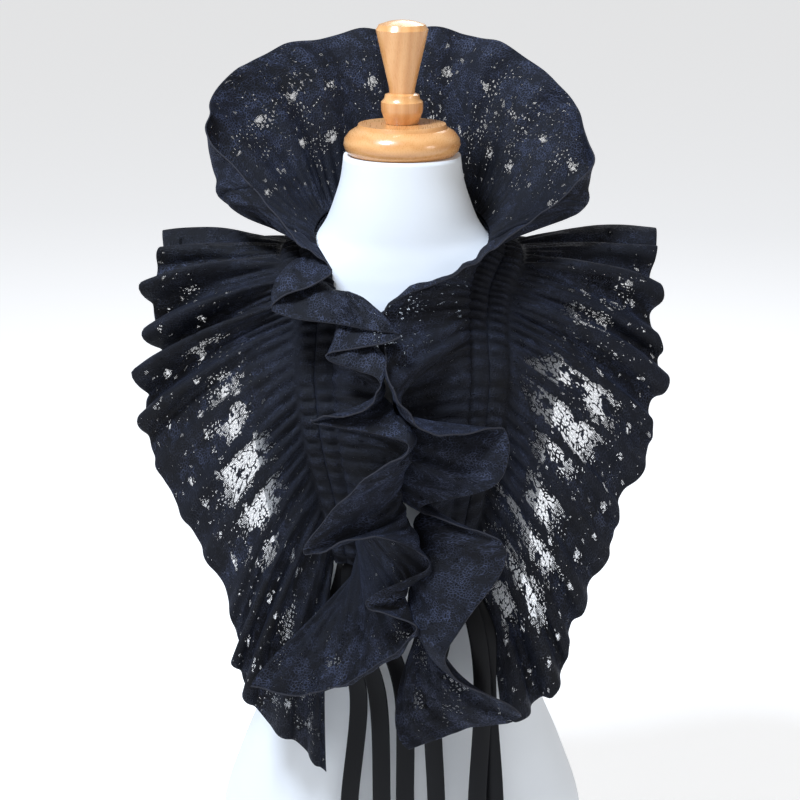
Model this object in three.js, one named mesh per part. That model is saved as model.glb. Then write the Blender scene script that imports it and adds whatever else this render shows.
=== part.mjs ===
// A ruffled lace shrug worn on a limbless dress form, in millimetres, +Z up, front towards -Y.
// The shrug is one long strip of lace, gathered along its middle on a shirred casing that lies round
// the neck and down both fronts. The half of the strip outside the casing spreads over the shoulders
// as two wings joined by a cape at the back. The half inside it stands up round the neck as a fan
// collar and falls down the front as two jabots. Ribbons run through the casing, and their six ends
// hang in front. The origin is the middle of the form's flat foot.
import * as THREE from "three";

// ---- Driving dimensions ----
const LACE_THICKNESS = 1.2;
const SEAM_GAP = 0.3;
const TOUCH = LACE_THICKNESS / 2 + SEAM_GAP; // from the casing's edge to the middle of a ruffle's root
const FORM_SEGMENTS = 32;
const FORM_ROUNDNESS = 2.25; // exponent of the sections, where 2 is an ellipse
const GATHERS = 96; // in the whole length of the casing
const GATHER_HEIGHT = 1.3; // a gather's rise above and below the casing's middle
const CASING_LIFT = LACE_THICKNESS / 2 + GATHER_HEIGHT + 0.7; // casing's middle above the form
const INNER_ROOT_RISE = GATHER_HEIGHT + LACE_THICKNESS; // the inner ruffle's root above the casing's
const INNER_RISE = 22; // how far it then rises before it turns
const RUFFLE_BOW = 0.07; // how far the outer ruffle bows outwards in the middle, as a share of its depth
const SEAM_SHARE = 0.03; // part of a fold that each side of a seam gives up for the gap
const RIBBON_THICKNESS = 1;
const RIBBON_WIDTH = 18;
const TURNED_SEGMENTS = 20;

// ---- Dress form: half width, and depth in front of and behind the axis, at each height ----
const FORM_SECTIONS = [
  { z: 0, side: 173, front: 106, back: 112 },
  { z: 50, side: 183, front: 110, back: 118 },
  { z: 105, side: 186, front: 110, back: 120 },
  { z: 170, side: 166, front: 103, back: 113 },
  { z: 240, side: 138, front: 94, back: 97 },
  { z: 315, side: 121, front: 88, back: 84 },
  { z: 390, side: 128, front: 94, back: 86 },
  { z: 460, side: 141, front: 108, back: 93 },
  { z: 530, side: 151, front: 121, back: 100 },
  { z: 585, side: 159, front: 112, back: 105 },
  { z: 625, side: 170, front: 92, back: 105 },
  { z: 655, side: 172, front: 78, back: 101 },
  { z: 676, side: 152, front: 69, back: 95 },
  { z: 692, side: 116, front: 63, back: 87 },
  { z: 706, side: 88, front: 59, back: 80 },
  { z: 722, side: 75, front: 57, back: 74 },
  { z: 745, side: 66, front: 55, back: 69 },
  { z: 765, side: 60, front: 54, back: 64 },
  { z: 787, side: 57, front: 54, back: 60 },
];
const FORM_RINGS = [
  0, 50, 105, 150, 195, 240, 278, 315, 352, 395, 440, 490, 530, 560, 588, 610, 635, 655, 669, 680, 689, 696,
  703, 710, 718, 730, 755, 787,
];

// ---- Turned wood: radius and height of the profile points between the two ends on the axis ----
const CAP_PROFILE = [
  { radius: 51, z: 0 },
  { radius: 55, z: 4 },
  { radius: 57, z: 10 },
  { radius: 56, z: 16 },
  { radius: 51.5, z: 22 },
  { radius: 46, z: 25.4 },
  { radius: 44.2, z: 26 },
  { radius: 42.5, z: 30 },
];
const FINIAL_PROFILE = [
  { radius: 15.5, z: 0 },
  { radius: 18.5, z: 7 },
  { radius: 20.4, z: 13 },
  { radius: 20.4, z: 21 },
  { radius: 17.4, z: 24 },
  { radius: 16.6, z: 28 },
  { radius: 12.4, z: 29.5 },
  { radius: 12.6, z: 34 },
  { radius: 24.6, z: 86 },
  { radius: 25.4, z: 90 },
  { radius: 22.5, z: 95 },
  { radius: 13, z: 98 },
];
const CAP_Z = FORM_SECTIONS[FORM_SECTIONS.length - 1].z + SEAM_GAP;
const FINIAL_Z = CAP_Z + CAP_PROFILE[CAP_PROFILE.length - 1].z + SEAM_GAP;
const FINIAL_CROWN = 99.5; // height of the finial at its middle

// ---- Casing: its inner and outer edge from the middle of the back (at 0) to a front end (at 1).
// turn is the direction from the axis in degrees: 90 back, 0 side, -90 front ----
const CASING_STATIONS = [
  { at: 0, innerTurn: 90, innerZ: 727, outerTurn: 90, outerZ: 691 },
  { at: 0.1, innerTurn: 60, innerZ: 727, outerTurn: 60, outerZ: 691 },
  { at: 0.2, innerTurn: 30, innerZ: 723, outerTurn: 29, outerZ: 693 },
  { at: 0.3, innerTurn: 5, innerZ: 715, outerTurn: 6, outerZ: 693 },
  { at: 0.4, innerTurn: -20, innerZ: 704, outerTurn: -13, outerZ: 688 },
  { at: 0.5, innerTurn: -39, innerZ: 686, outerTurn: -27, outerZ: 672 },
  { at: 0.6, innerTurn: -49, innerZ: 656, outerTurn: -35, outerZ: 647 },
  { at: 0.7, innerTurn: -56, innerZ: 608, outerTurn: -41, outerZ: 604 },
  { at: 0.8, innerTurn: -62, innerZ: 545, outerTurn: -47, outerZ: 544 },
  { at: 0.9, innerTurn: -65, innerZ: 475, outerTurn: -51, outerZ: 475 },
  { at: 1, innerTurn: -67, innerZ: 402, outerTurn: -53, outerZ: 402 },
];

// ---- Outer half of the strip, from the left front end round the back to the right front end:
// a row for each ridge. at is its place on the casing (left negative), x, y, z its free edge,
// deep how far the wave stands out at that edge, dip how far the hollow after it does ----
const OUTER_RIDGES = [
  { at: -1, x: -76, y: -112, z: 186, deep: 4, dip: -6 },
  { at: -0.975, x: -100, y: -112, z: 212, deep: 8, dip: -9 },
  { at: -0.945, x: -142, y: -110, z: 246, deep: 14, dip: -12 },
  { at: -0.91, x: -160, y: -106, z: 284, deep: 11, dip: -14 },
  { at: -0.875, x: -166, y: -100, z: 320, deep: 16, dip: 4 },
  { at: -0.84, x: -178, y: -92, z: 374, deep: 12, dip: -2 },
  { at: -0.785, x: -205, y: -83, z: 420, deep: 16, dip: 5 },
  { at: -0.73, x: -230, y: -73, z: 466, deep: 13, dip: 3 },
  { at: -0.67, x: -250, y: -60, z: 508, deep: 14, dip: -6 },
  { at: -0.605, x: -259, y: -50, z: 552, deep: 15, dip: -18 },
  { at: -0.53, x: -245, y: -39, z: 592, deep: 20, dip: -16 },
  { at: -0.455, x: -252, y: -26, z: 636, deep: 18, dip: -17 },
  { at: -0.38, x: -248, y: -10, z: 678, deep: 20, dip: 6 },
  { at: -0.3, x: -236, y: 12, z: 706, deep: 14, dip: -10 },
  { at: -0.24, x: -238, y: 58, z: 678, deep: 18, dip: -15 },
  { at: -0.18, x: -208, y: 108, z: 640, deep: 13, dip: -6 },
  { at: -0.12, x: -156, y: 156, z: 600, deep: 20, dip: -18 },
  { at: -0.07, x: -98, y: 184, z: 574, deep: 12, dip: -9 },
  { at: -0.02, x: -32, y: 196, z: 560, deep: 19, dip: -16 },
  { at: 0.03, x: 34, y: 196, z: 562, deep: 11, dip: -14 },
  { at: 0.075, x: 100, y: 184, z: 572, deep: 18, dip: -14 },
  { at: 0.125, x: 160, y: 154, z: 602, deep: 12, dip: -17 },
  { at: 0.18, x: 212, y: 110, z: 636, deep: 20, dip: -8 },
  { at: 0.24, x: 246, y: 58, z: 676, deep: 13, dip: -15 },
  { at: 0.3, x: 253, y: 12, z: 704, deep: 14, dip: 6 },
  { at: 0.38, x: 250, y: -10, z: 672, deep: 19, dip: -17 },
  { at: 0.455, x: 252, y: -26, z: 630, deep: 17, dip: 5 },
  { at: 0.53, x: 262, y: -38, z: 588, deep: 20, dip: -18 },
  { at: 0.605, x: 247, y: -50, z: 546, deep: 14, dip: 2 },
  { at: 0.67, x: 245, y: -62, z: 505, deep: 17, dip: -13 },
  { at: 0.73, x: 217, y: -74, z: 462, deep: 13, dip: 3 },
  { at: 0.785, x: 211, y: -82, z: 422, deep: 16, dip: -4 },
  { at: 0.84, x: 186, y: -90, z: 376, deep: 12, dip: -14 },
  { at: 0.885, x: 169, y: -96, z: 332, deep: 16, dip: 4 },
  { at: 0.93, x: 162, y: -98, z: 290, deep: 13, dip: -12 },
  { at: 0.97, x: 136, y: -99, z: 252, deep: 14, dip: -8 },
  { at: 1, x: 100, y: -98, z: 230, deep: 8, dip: -4 },
];
const LEFT_SHOULDER_ROW = 13;
const RIGHT_SHOULDER_ROW = 24;

// ---- Inner half of the strip, in the same order: a row for each turn of the free edge. midX, midY,
// midZ is where the middle of the cloth's depth lies, x, y, z its free edge, deep a small wave ----
const INNER_TURNS = [
  { at: -1, midX: -92, midY: -128, midZ: 352, x: -146, y: -142, z: 292, deep: 0 },
  { at: -0.985, midX: -66, midY: -136, midZ: 352, x: -98, y: -158, z: 288, deep: 0 },
  { at: -0.968, midX: -36, midY: -144, midZ: 362, x: -42, y: -172, z: 312, deep: 0 },
  { at: -0.95, midX: -14, midY: -146, midZ: 388, x: 14, y: -182, z: 366, deep: 0 },
  { at: -0.93, midX: -8, midY: -144, midZ: 412, x: -34, y: -172, z: 388, deep: 0 },
  { at: -0.905, midX: -8, midY: -146, midZ: 440, x: 27, y: -168, z: 424, deep: 0 },
  { at: -0.88, midX: -6, midY: -146, midZ: 470, x: -26, y: -184, z: 458, deep: 0 },
  { at: -0.85, midX: -8, midY: -146, midZ: 500, x: -92, y: -174, z: 438, deep: 0 },
  { at: -0.81, midX: -6, midY: -148, midZ: 536, x: -44, y: -188, z: 506, deep: 0 },
  { at: -0.77, midX: -22, midY: -150, midZ: 568, x: 6, y: -187, z: 548, deep: 0 },
  { at: -0.735, midX: -22, midY: -144, midZ: 590, x: -84, y: -160, z: 562, deep: 0 },
  { at: -0.705, midX: -32, midY: -142, midZ: 610, x: -36, y: -178, z: 576, deep: 0 },
  { at: -0.67, midX: -38, midY: -126, midZ: 634, x: -22, y: -170, z: 606, deep: 0 },
  { at: -0.635, midX: -58, midY: -113, midZ: 654, x: -70, y: -149, z: 622, deep: 0 },
  { at: -0.6, midX: -48, midY: -106, midZ: 670, x: -2, y: -154, z: 643, deep: 0 },
  { at: -0.565, midX: -96, midY: -86, midZ: 686, x: -122, y: -122, z: 660, deep: 0 },
  { at: -0.53, midX: -80, midY: -66, midZ: 706, x: -66, y: -112, z: 694, deep: 0 },
  { at: -0.49, midX: -114, midY: -40, midZ: 720, x: -98, y: -82, z: 716, deep: 0 },
  { at: -0.43, midX: -152, midY: -18, midZ: 732, x: -142, y: -34, z: 760, deep: 2 },
  { at: -0.36, midX: -148, midY: 12, midZ: 756, x: -186, y: 8, z: 802, deep: 4 },
  { at: -0.27, midX: -122, midY: 50, midZ: 778, x: -184, y: 58, z: 840, deep: 5 },
  { at: -0.18, midX: -88, midY: 80, midZ: 796, x: -146, y: 98, z: 870, deep: 6 },
  { at: -0.09, midX: -46, midY: 100, midZ: 806, x: -80, y: 128, z: 888, deep: 5 },
  { at: 0, midX: 0, midY: 108, midZ: 808, x: -4, y: 140, z: 894, deep: 6 },
  { at: 0.09, midX: 46, midY: 100, midZ: 806, x: 70, y: 130, z: 890, deep: 5 },
  { at: 0.18, midX: 86, midY: 80, midZ: 794, x: 130, y: 98, z: 866, deep: 6 },
  { at: 0.27, midX: 118, midY: 50, midZ: 776, x: 170, y: 56, z: 828, deep: 5 },
  { at: 0.36, midX: 144, midY: 12, midZ: 750, x: 184, y: 4, z: 780, deep: 4 },
  { at: 0.43, midX: 150, midY: -18, midZ: 726, x: 152, y: -28, z: 748, deep: 2 },
  { at: 0.49, midX: 92, midY: -60, midZ: 714, x: 98, y: -80, z: 720, deep: 0 },
  { at: 0.54, midX: 60, midY: -88, midZ: 692, x: 52, y: -106, z: 692, deep: 0 },
  { at: 0.59, midX: 26, midY: -103, midZ: 672, x: -14, y: -124, z: 664, deep: 0 },
  { at: 0.63, midX: 16, midY: -110, midZ: 644, x: -16, y: -134, z: 634, deep: 0 },
  { at: 0.665, midX: 24, midY: -134, midZ: 612, x: -10, y: -184, z: 600, deep: 0 },
  { at: 0.7, midX: 15, midY: -130, midZ: 600, x: 29, y: -188, z: 557, deep: 0 },
  { at: 0.745, midX: 0, midY: -127, midZ: 572, x: 94, y: -164, z: 554, deep: 0 },
  { at: 0.79, midX: -6, midY: -127, midZ: 544, x: 86, y: -178, z: 506, deep: 0 },
  { at: 0.835, midX: -2, midY: -124, midZ: 512, x: 16, y: -156, z: 476, deep: 0 },
  { at: 0.87, midX: 28, midY: -134, midZ: 482, x: 86, y: -186, z: 456, deep: 0 },
  { at: 0.9, midX: 12, midY: -132, midZ: 452, x: 92, y: -188, z: 424, deep: 0 },
  { at: 0.935, midX: 16, midY: -136, midZ: 404, x: 40, y: -194, z: 334, deep: 0 },
  { at: 0.96, midX: 30, midY: -134, midZ: 366, x: 114, y: -160, z: 270, deep: 0 },
  { at: 0.98, midX: 18, midY: -130, midZ: 342, x: 62, y: -146, z: 248, deep: 0 },
  { at: 1, midX: 8, midY: -126, midZ: 322, x: 6, y: -148, z: 228, deep: 0 },
];
const LEFT_JABOT_ROW = 18;
const RIGHT_JABOT_ROW = 28;

// ---- How each ruffle is divided. columns are shares of the way from one row of its table to the
// next; rows go across its depth, and open marks the narrow ones whose cells may be lace gaps.
// overhang is the sideways swing of a fold's flanks and notch the draw-in of the edge between ridges,
// both as shares of the ruffle's depth; gapEvery is the number of columns from one gap to the next ----
const OUTER_DIVISION = {
  columns: [0.14, 0.36, 0.5, 0.64, 0.86],
  rows: [
    { to: 0.3, open: false },
    { to: 0.352, open: true },
    { to: 0.56, open: false },
    { to: 0.612, open: true },
    { to: 0.81, open: false },
    { to: 0.862, open: true },
    { to: 1, open: false },
  ],
  overhang: 0.035,
  notch: 0.02,
  gapEvery: 3,
};
const COLLAR_DIVISION = {
  columns: [0, 0.25, 0.5, 0.75],
  rows: [
    { to: 0.22, open: false },
    { to: 0.42, open: false },
    { to: 0.475, open: true },
    { to: 0.66, open: false },
    { to: 0.715, open: true },
    { to: 0.87, open: false },
    { to: 1, open: false },
  ],
  overhang: 0,
  notch: 0,
  gapEvery: 3,
};
const JABOT_DIVISION = {
  columns: [0, 0.25, 0.5, 0.75],
  rows: [
    { to: 0.2, open: false },
    { to: 0.4, open: false },
    { to: 0.6, open: false },
    { to: 0.8, open: false },
    { to: 0.86, open: true },
    { to: 1, open: false },
  ],
  overhang: 0,
  notch: 0,
  gapEvery: 4,
};
const ROW_WANDER = 0.035; // how far those rows drift up and down along a ruffle
const ROW_WANDER_RATE = 1.9; // radians a fold

// ---- Ribbons: channel is the place across the casing's end (0 inner, 1 outer); the x values are the
// middle of the ribbon at three heights, and proud is how far it hangs in front of its neighbours ----
const RIBBONS = [
  { name: "ribbon_1", side: -1, channel: 0.78, x340: -64, x270: -43, x160: -52, endZ: 84, proud: 0 },
  { name: "ribbon_2", side: -1, channel: 0.5, x340: -46, x270: -24, x160: -20, endZ: 66, proud: 5 },
  { name: "ribbon_3", side: -1, channel: 0.22, x340: -22, x270: 1, x160: 3, endZ: 92, proud: 0 },
  { name: "ribbon_4", side: 1, channel: 0.22, x340: 42, x270: 30, x160: 34, endZ: 74, proud: 2 },
  { name: "ribbon_5", side: 1, channel: 0.5, x340: 72, x270: 79, x160: 74, endZ: 88, proud: 7 },
  { name: "ribbon_6", side: 1, channel: 0.78, x340: 82, x270: 84, x160: 92, endZ: 68, proud: 1 },
];
const RIBBON_FALL = [
  { key: "x340", z: 340, y: -104 },
  { key: "x270", z: 270, y: -110 },
  { key: "x160", z: 160, y: -120 },
];
const RIBBON_EXIT_WIDTH = 7; // gathered in its channel
const RIBBON_CLEARS = 12; // below the casing, where it lies clear of its neighbours
const RIBBON_SPREAD = 0.3; // share of its length in which it opens to its full width
const RIBBON_STEPS = 12;

// ---- Curves through a table ----
// A smooth curve through one column, read at a row number that may lie between rows.
function columnAt(rows, key, place) {
  const last = rows.length - 1;
  const i = Math.min(Math.max(Math.floor(place), 0), last - 1);
  const t = place - i;
  const a = rows[i][key];
  const b = rows[i + 1][key];
  const before = i > 0 ? rows[i - 1][key] : 2 * a - b;
  const after = i < last - 1 ? rows[i + 2][key] : 2 * b - a;
  const slopeA = (b - before) / 2;
  const slopeB = (after - a) / 2;
  const t2 = t * t;
  const t3 = t2 * t;
  return a * (2 * t3 - 3 * t2 + 1) + slopeA * (t3 - 2 * t2 + t) + b * (3 * t2 - 2 * t3) + slopeB * (t3 - t2);
}

// The row number at which a rising column reaches a value.
function rowReaching(rows, key, value) {
  let i = 0;
  while (i < rows.length - 2 && rows[i + 1][key] <= value) i++;
  return i + (value - rows[i][key]) / (rows[i + 1][key] - rows[i][key]);
}

// ---- The form's skin ----
function formRadius(turn, z) {
  const row = rowReaching(FORM_SECTIONS, "z", z);
  const side = columnAt(FORM_SECTIONS, "side", row);
  const depth = columnAt(FORM_SECTIONS, Math.sin(turn) < 0 ? "front" : "back", row);
  const across = Math.abs(Math.cos(turn)) / side;
  const along = Math.abs(Math.sin(turn)) / depth;
  return (across ** FORM_ROUNDNESS + along ** FORM_ROUNDNESS) ** (-1 / FORM_ROUNDNESS);
}

// A point on the skin, moved out along the skin's normal by lift.
function onForm(turn, z, lift) {
  const step = 0.02;
  const rise = 1.5;
  const at = (angle, height) => {
    const radius = formRadius(angle, height);
    return new THREE.Vector3(radius * Math.cos(angle), radius * Math.sin(angle), height);
  };
  const round = at(turn + step, z).sub(at(turn - step, z));
  const up = at(turn, z + rise).sub(at(turn, z - rise));
  return at(turn, z).addScaledVector(round.cross(up).normalize(), lift);
}

// ---- Closed bodies from grids of points ----
// A wall of even thickness on a grid of points; isOpen names the cells that are gaps.
function wallFromGrid(grid, thickness, isOpen = () => false) {
  const columns = grid.length;
  const rows = grid[0].length;
  const index = (i, j, face) => (i * rows + j) * 2 + face;
  const positions = [];
  const cellNormal = (i, j) => {
    if (i < 0 || j < 0 || i > columns - 2 || j > rows - 2) return new THREE.Vector3();
    const rising = grid[i + 1][j + 1].clone().sub(grid[i][j]);
    return rising.cross(grid[i][j + 1].clone().sub(grid[i + 1][j])).normalize();
  };
  for (let i = 0; i < columns; i++) {
    for (let j = 0; j < rows; j++) {
      const normal = cellNormal(i, j).add(cellNormal(i - 1, j)).add(cellNormal(i, j - 1));
      normal.add(cellNormal(i - 1, j - 1)).normalize();
      for (const side of [-0.5, 0.5]) {
        const point = grid[i][j].clone().addScaledVector(normal, side * thickness);
        positions.push(point.x, point.y, point.z);
      }
    }
  }
  const solid = (i, j) => i >= 0 && j >= 0 && i < columns - 1 && j < rows - 1 && !isOpen(i, j);
  const triangles = [];
  const quad = (a, b, c, d) => triangles.push(a, b, c, a, c, d);
  const risesShorter = (i, j) =>
    grid[i][j].distanceTo(grid[i + 1][j + 1]) <= grid[i + 1][j].distanceTo(grid[i][j + 1]);
  const rim = (i, j, i2, j2) => quad(index(i, j, 0), index(i2, j2, 0), index(i2, j2, 1), index(i, j, 1));
  for (let i = 0; i < columns - 1; i++) {
    for (let j = 0; j < rows - 1; j++) {
      if (!solid(i, j)) continue;
      if (risesShorter(i, j)) {
        quad(index(i, j, 1), index(i + 1, j, 1), index(i + 1, j + 1, 1), index(i, j + 1, 1));
        quad(index(i, j, 0), index(i, j + 1, 0), index(i + 1, j + 1, 0), index(i + 1, j, 0));
      } else {
        quad(index(i + 1, j, 1), index(i + 1, j + 1, 1), index(i, j + 1, 1), index(i, j, 1));
        quad(index(i, j + 1, 0), index(i + 1, j + 1, 0), index(i + 1, j, 0), index(i, j, 0));
      }
      if (!solid(i, j - 1)) rim(i, j, i + 1, j);
      if (!solid(i + 1, j)) rim(i + 1, j, i + 1, j + 1);
      if (!solid(i, j + 1)) rim(i + 1, j + 1, i, j + 1);
      if (!solid(i - 1, j)) rim(i, j + 1, i, j);
    }
  }
  return bufferGeometry(positions, triangles);
}

function bufferGeometry(positions, triangles) {
  const geometry = new THREE.BufferGeometry();
  geometry.setAttribute("position", new THREE.Float32BufferAttribute(positions, 3));
  geometry.setIndex(triangles);
  geometry.computeVertexNormals();
  return geometry;
}

function formGeometry() {
  const positions = [];
  const triangles = [];
  for (const z of FORM_RINGS) {
    for (let i = 0; i < FORM_SEGMENTS; i++) {
      const turn = (2 * Math.PI * i) / FORM_SEGMENTS;
      const radius = formRadius(turn, z);
      positions.push(radius * Math.cos(turn), radius * Math.sin(turn), z);
    }
  }
  const topRing = (FORM_RINGS.length - 1) * FORM_SEGMENTS;
  const footCentre = positions.length / 3;
  positions.push(0, 0, FORM_RINGS[0], 0, 0, FORM_RINGS[FORM_RINGS.length - 1]);
  for (let i = 0; i < FORM_SEGMENTS; i++) {
    const next = (i + 1) % FORM_SEGMENTS;
    for (let ring = 0; ring < topRing; ring += FORM_SEGMENTS) {
      const above = ring + FORM_SEGMENTS;
      triangles.push(ring + i, ring + next, above + next, ring + i, above + next, above + i);
    }
    triangles.push(footCentre, next, i, footCentre + 1, topRing + i, topRing + next);
  }
  return bufferGeometry(positions, triangles);
}

function turnedGeometry(profile, foot, crown) {
  const points = [new THREE.Vector2(0, profile[0].z)];
  for (const { radius, z } of profile) points.push(new THREE.Vector2(radius, z));
  points.push(new THREE.Vector2(0, crown));
  const geometry = new THREE.LatheGeometry(points, TURNED_SEGMENTS);
  geometry.rotateX(Math.PI / 2);
  geometry.translate(0, 0, foot);
  return geometry;
}

// ---- Casing ----
// A point of the casing's middle layer: at runs along it, across goes from inner (0) to outer (1) edge.
function onCasing(at, across, lift = CASING_LIFT) {
  const row = rowReaching(CASING_STATIONS, "at", Math.abs(at));
  const value = (key) => columnAt(CASING_STATIONS, key, row);
  const turn = THREE.MathUtils.lerp(value("innerTurn"), value("outerTurn"), across);
  const z = THREE.MathUtils.lerp(value("innerZ"), value("outerZ"), across);
  const point = onForm(THREE.MathUtils.degToRad(turn), z, lift);
  if (at < 0) point.x *= -1;
  return point;
}

function casingGeometry(fromAt, toAt) {
  const steps = Math.round(2 * GATHERS * ((toAt - fromAt) / 2));
  const grid = [];
  for (let i = 0; i <= steps; i++) {
    const at = THREE.MathUtils.lerp(fromAt, toAt, i / steps);
    const lift = CASING_LIFT + (i % 2 ? GATHER_HEIGHT : -GATHER_HEIGHT);
    grid.push([0, 0.5, 1].map((across) => onCasing(at, across, lift)));
  }
  return wallFromGrid(grid, LACE_THICKNESS);
}

// The start of a ruffle, just clear of the casing's inner (0) or outer (1) edge. The inner ruffle starts
// higher, because it folds back over the gathers.
function ruffleRoot(at, across) {
  const edge = onCasing(at, across, CASING_LIFT + (across === 0 ? INNER_ROOT_RISE : 0));
  const inside = onCasing(at, across === 0 ? 0.1 : 0.9, CASING_LIFT);
  const beside = onCasing(at, across);
  return edge.addScaledVector(beside.sub(inside).normalize(), TOUCH);
}

// ---- Ruffles ----
function bezier(a, b, c, t) {
  return a
    .clone()
    .multiplyScalar((1 - t) ** 2)
    .addScaledVector(b, 2 * t * (1 - t))
    .addScaledVector(c, t * t);
}

// The unfolded lie of the outer ruffle at a row number and a share of its depth.
function outerLie(row, depth) {
  const value = (key) => columnAt(OUTER_RIDGES, key, row);
  const root = ruffleRoot(value("at"), 1);
  const edge = new THREE.Vector3(value("x"), value("y"), value("z"));
  const middle = root.clone().lerp(edge, 0.5);
  const outwards = new THREE.Vector3(middle.x * 0.4, middle.y, 60).normalize();
  middle.addScaledVector(outwards, 2 * RUFFLE_BOW * root.distanceTo(edge));
  return bezier(root, middle, edge, depth);
}

// The inner ruffle first rises off the casing, then passes through the table's middle point.
function innerLie(row, depth) {
  const value = (key) => columnAt(INNER_TURNS, key, row);
  const root = ruffleRoot(value("at"), 0);
  const rise = onCasing(value("at"), 0, CASING_LIFT + 1).sub(onCasing(value("at"), 0));
  const first = root.clone().addScaledVector(rise, INNER_RISE);
  const middle = new THREE.Vector3(value("midX"), value("midY"), value("midZ"));
  const edge = new THREE.Vector3(value("x"), value("y"), value("z"));
  const second = middle.multiplyScalar(8).sub(root).sub(edge).addScaledVector(first, -3).divideScalar(3);
  return new THREE.CubicBezierCurve3(root, first, second, edge).getPoint(depth);
}

// The height of a fold's section: a broad ridge at each whole row number and a narrow trough between.
function foldSection(row) {
  return 1 - 2 * Math.abs(Math.sin(Math.PI * row)) ** 3;
}

// How far the wave stands out at the free edge: deep on a ridge and dip in a hollow.
function waveAt(table, row) {
  const fold = foldSection(row);
  const deep = columnAt(table, "deep", row);
  const dip = "dip" in table[0] ? columnAt(table, "dip", Math.max(row - 0.5, 0)) : -deep;
  return (deep * (1 + fold) + dip * (1 - fold)) / 2;
}

// The lie with its waves, which grow from the casing to the free edge.
function foldedPoint({ lie, table, overhang, notch }, row, depth) {
  const drawn = depth * (1 - (notch * (1 - foldSection(row))) / 2);
  const small = 0.03;
  const along = lie(row + small, drawn).sub(lie(row - small, drawn)).normalize();
  const down = lie(row, drawn + small).sub(lie(row, Math.max(drawn - small, 0)));
  const outwards = down.cross(along).normalize();
  const growth = depth * (1.6 - 0.6 * depth);
  const swing = overhang * lie(row, 0).distanceTo(lie(row, 1)) * Math.sin(4 * Math.PI * row);
  return lie(row, drawn)
    .addScaledVector(outwards, waveAt(table, row) * growth)
    .addScaledVector(along, swing * growth * depth);
}

// One piece of a ruffle between two rows of its table, with its lace gaps.
function rufflePiece(ruffle, fromRow, toRow) {
  const { columns, rows, gapEvery } = ruffle;
  const stations = [fromRow];
  for (let whole = Math.floor(fromRow); whole <= toRow; whole++) {
    for (const share of columns) {
      if (whole + share > fromRow + share / 9 && whole + share < toRow) stations.push(whole + share);
    }
  }
  stations.push(toRow);
  const grid = stations.map((row) => {
    const wander = ROW_WANDER * Math.sin(ROW_WANDER_RATE * row);
    const depths = [0, ...rows.map(({ to }) => to + wander * 4 * to * (1 - to))];
    return depths.map((depth) => foldedPoint(ruffle, row, depth));
  });
  const isGap = (i, j) => rows[j].open && i > 0 && i < stations.length - 2 && (i + j) % gapEvery === 0;
  return wallFromGrid(grid, LACE_THICKNESS, isGap);
}

const OUTER = { lie: outerLie, table: OUTER_RIDGES, ...OUTER_DIVISION };
const COLLAR = { lie: innerLie, table: INNER_TURNS, ...COLLAR_DIVISION };
const JABOT = { lie: innerLie, table: INNER_TURNS, ...JABOT_DIVISION };

// ---- Ribbons ----
function ribbonGeometry(ribbon) {
  const { side, channel, endZ, proud } = ribbon;
  const inChannel = (at, across) => onCasing(at, across, CASING_LIFT - GATHER_HEIGHT);
  const casingEnd = inChannel(side, channel);
  const alongCasing = casingEnd.clone().sub(inChannel(side * 0.98, channel)).normalize();
  const acrossCasing = inChannel(side, channel + 0.1).sub(casingEnd).multiplyScalar(side).normalize();
  const acrossForm = new THREE.Vector3(1, 0, 0);
  const outwards = alongCasing.clone().cross(acrossCasing).normalize();
  if (outwards.y > 0) outwards.negate();
  const start = casingEnd.addScaledVector(alongCasing, 1.5 * SEAM_GAP);
  const below = start.clone().addScaledVector(alongCasing, RIBBON_CLEARS);
  const points = [start, below.addScaledVector(outwards, GATHER_HEIGHT + proud)];
  for (const { key, z, y } of RIBBON_FALL) points.push(new THREE.Vector3(ribbon[key], y - proud, z));
  const last = points[points.length - 1];
  points.push(new THREE.Vector3(last.x, last.y - 2, endZ));
  const curve = new THREE.CatmullRomCurve3(points);
  const grid = [];
  for (let i = 0; i <= RIBBON_STEPS; i++) {
    const share = i / RIBBON_STEPS;
    const opened = Math.min(share / RIBBON_SPREAD, 1);
    const width = THREE.MathUtils.lerp(RIBBON_EXIT_WIDTH, RIBBON_WIDTH, opened);
    const across = acrossCasing.clone().lerp(acrossForm, opened).normalize();
    const middle = curve.getPointAt(share);
    grid.push([-0.5, 0.5].map((edge) => middle.clone().addScaledVector(across, edge * width)));
  }
  return wallFromGrid(grid, RIBBON_THICKNESS);
}

// ---- Assembly ----
const JERSEY = { color: 0xf1f1ee, roughness: 0.85, metalness: 0 };
const WOOD = { color: 0xd9924f, roughness: 0.42, metalness: 0 };
const LACE = { color: 0x12141f, roughness: 0.7, metalness: 0 };
const SATIN = { color: 0x17171a, roughness: 0.35, metalness: 0 };

const group = new THREE.Group();
function add(name, geometry, finish) {
  const mesh = new THREE.Mesh(geometry, new THREE.MeshStandardMaterial(finish));
  mesh.name = name;
  group.add(mesh);
}

add("dress_form", formGeometry(), JERSEY);
add("neck_cap", turnedGeometry(CAP_PROFILE, CAP_Z, CAP_PROFILE[CAP_PROFILE.length - 1].z), WOOD);
add("finial", turnedGeometry(FINIAL_PROFILE, FINIAL_Z, FINIAL_CROWN), WOOD);

const SIDE_SEAM = 0.3; // where the casing's back piece meets the two front pieces
const CASING_SEAM = 0.002; // share of the casing's half length left open at that seam
add("casing_left", casingGeometry(-1, -SIDE_SEAM - CASING_SEAM), LACE);
add("casing_back", casingGeometry(-SIDE_SEAM, SIDE_SEAM), LACE);
add("casing_right", casingGeometry(SIDE_SEAM + CASING_SEAM, 1), LACE);

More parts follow.
